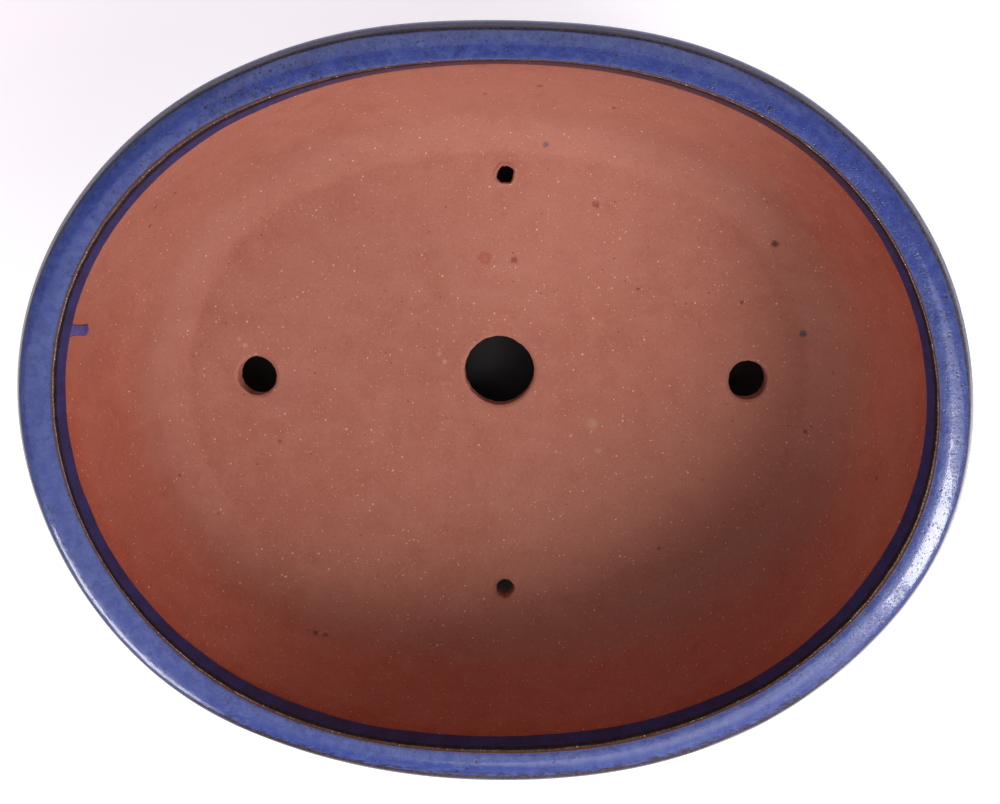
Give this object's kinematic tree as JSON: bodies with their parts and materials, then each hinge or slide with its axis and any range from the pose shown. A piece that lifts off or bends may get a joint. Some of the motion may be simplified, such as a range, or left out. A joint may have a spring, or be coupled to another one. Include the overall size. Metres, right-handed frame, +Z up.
{
  "type": "bonsai pot",
  "caption": "Oval bonsai pot with a thick rolled lip, bare clay inside, coloured glaze outside, drain and tie-wire holes in the floor and low feet.",
  "frame": {"origin": "centre of the oval on the plane the feet stand on", "axes": "+X along the length, +Y across the width (the picture's up), +Z up"},
  "size_m": [0.3576, 0.2896, 0.11],
  "materials": {
    "clay": "matt unglazed stoneware with fine light grog",
    "clay_foot": "matt unglazed stoneware",
    "glaze": "glossy mottled blue glaze breaking brown on edges"
  },
  "bodies": {
    "root": {"floor_slab": "clay", "base_ring": "clay", "body_wall": "clay", "rim_lip": "clay", "foot_front_left": "clay_foot", "foot_front_right": "clay_foot", "foot_back_left": "clay_foot", "foot_back_right": "clay_foot", "glaze_rim": "glaze", "glaze_outer": "glaze", "glaze_drip": "glaze"}
  },
  "joints": []
}
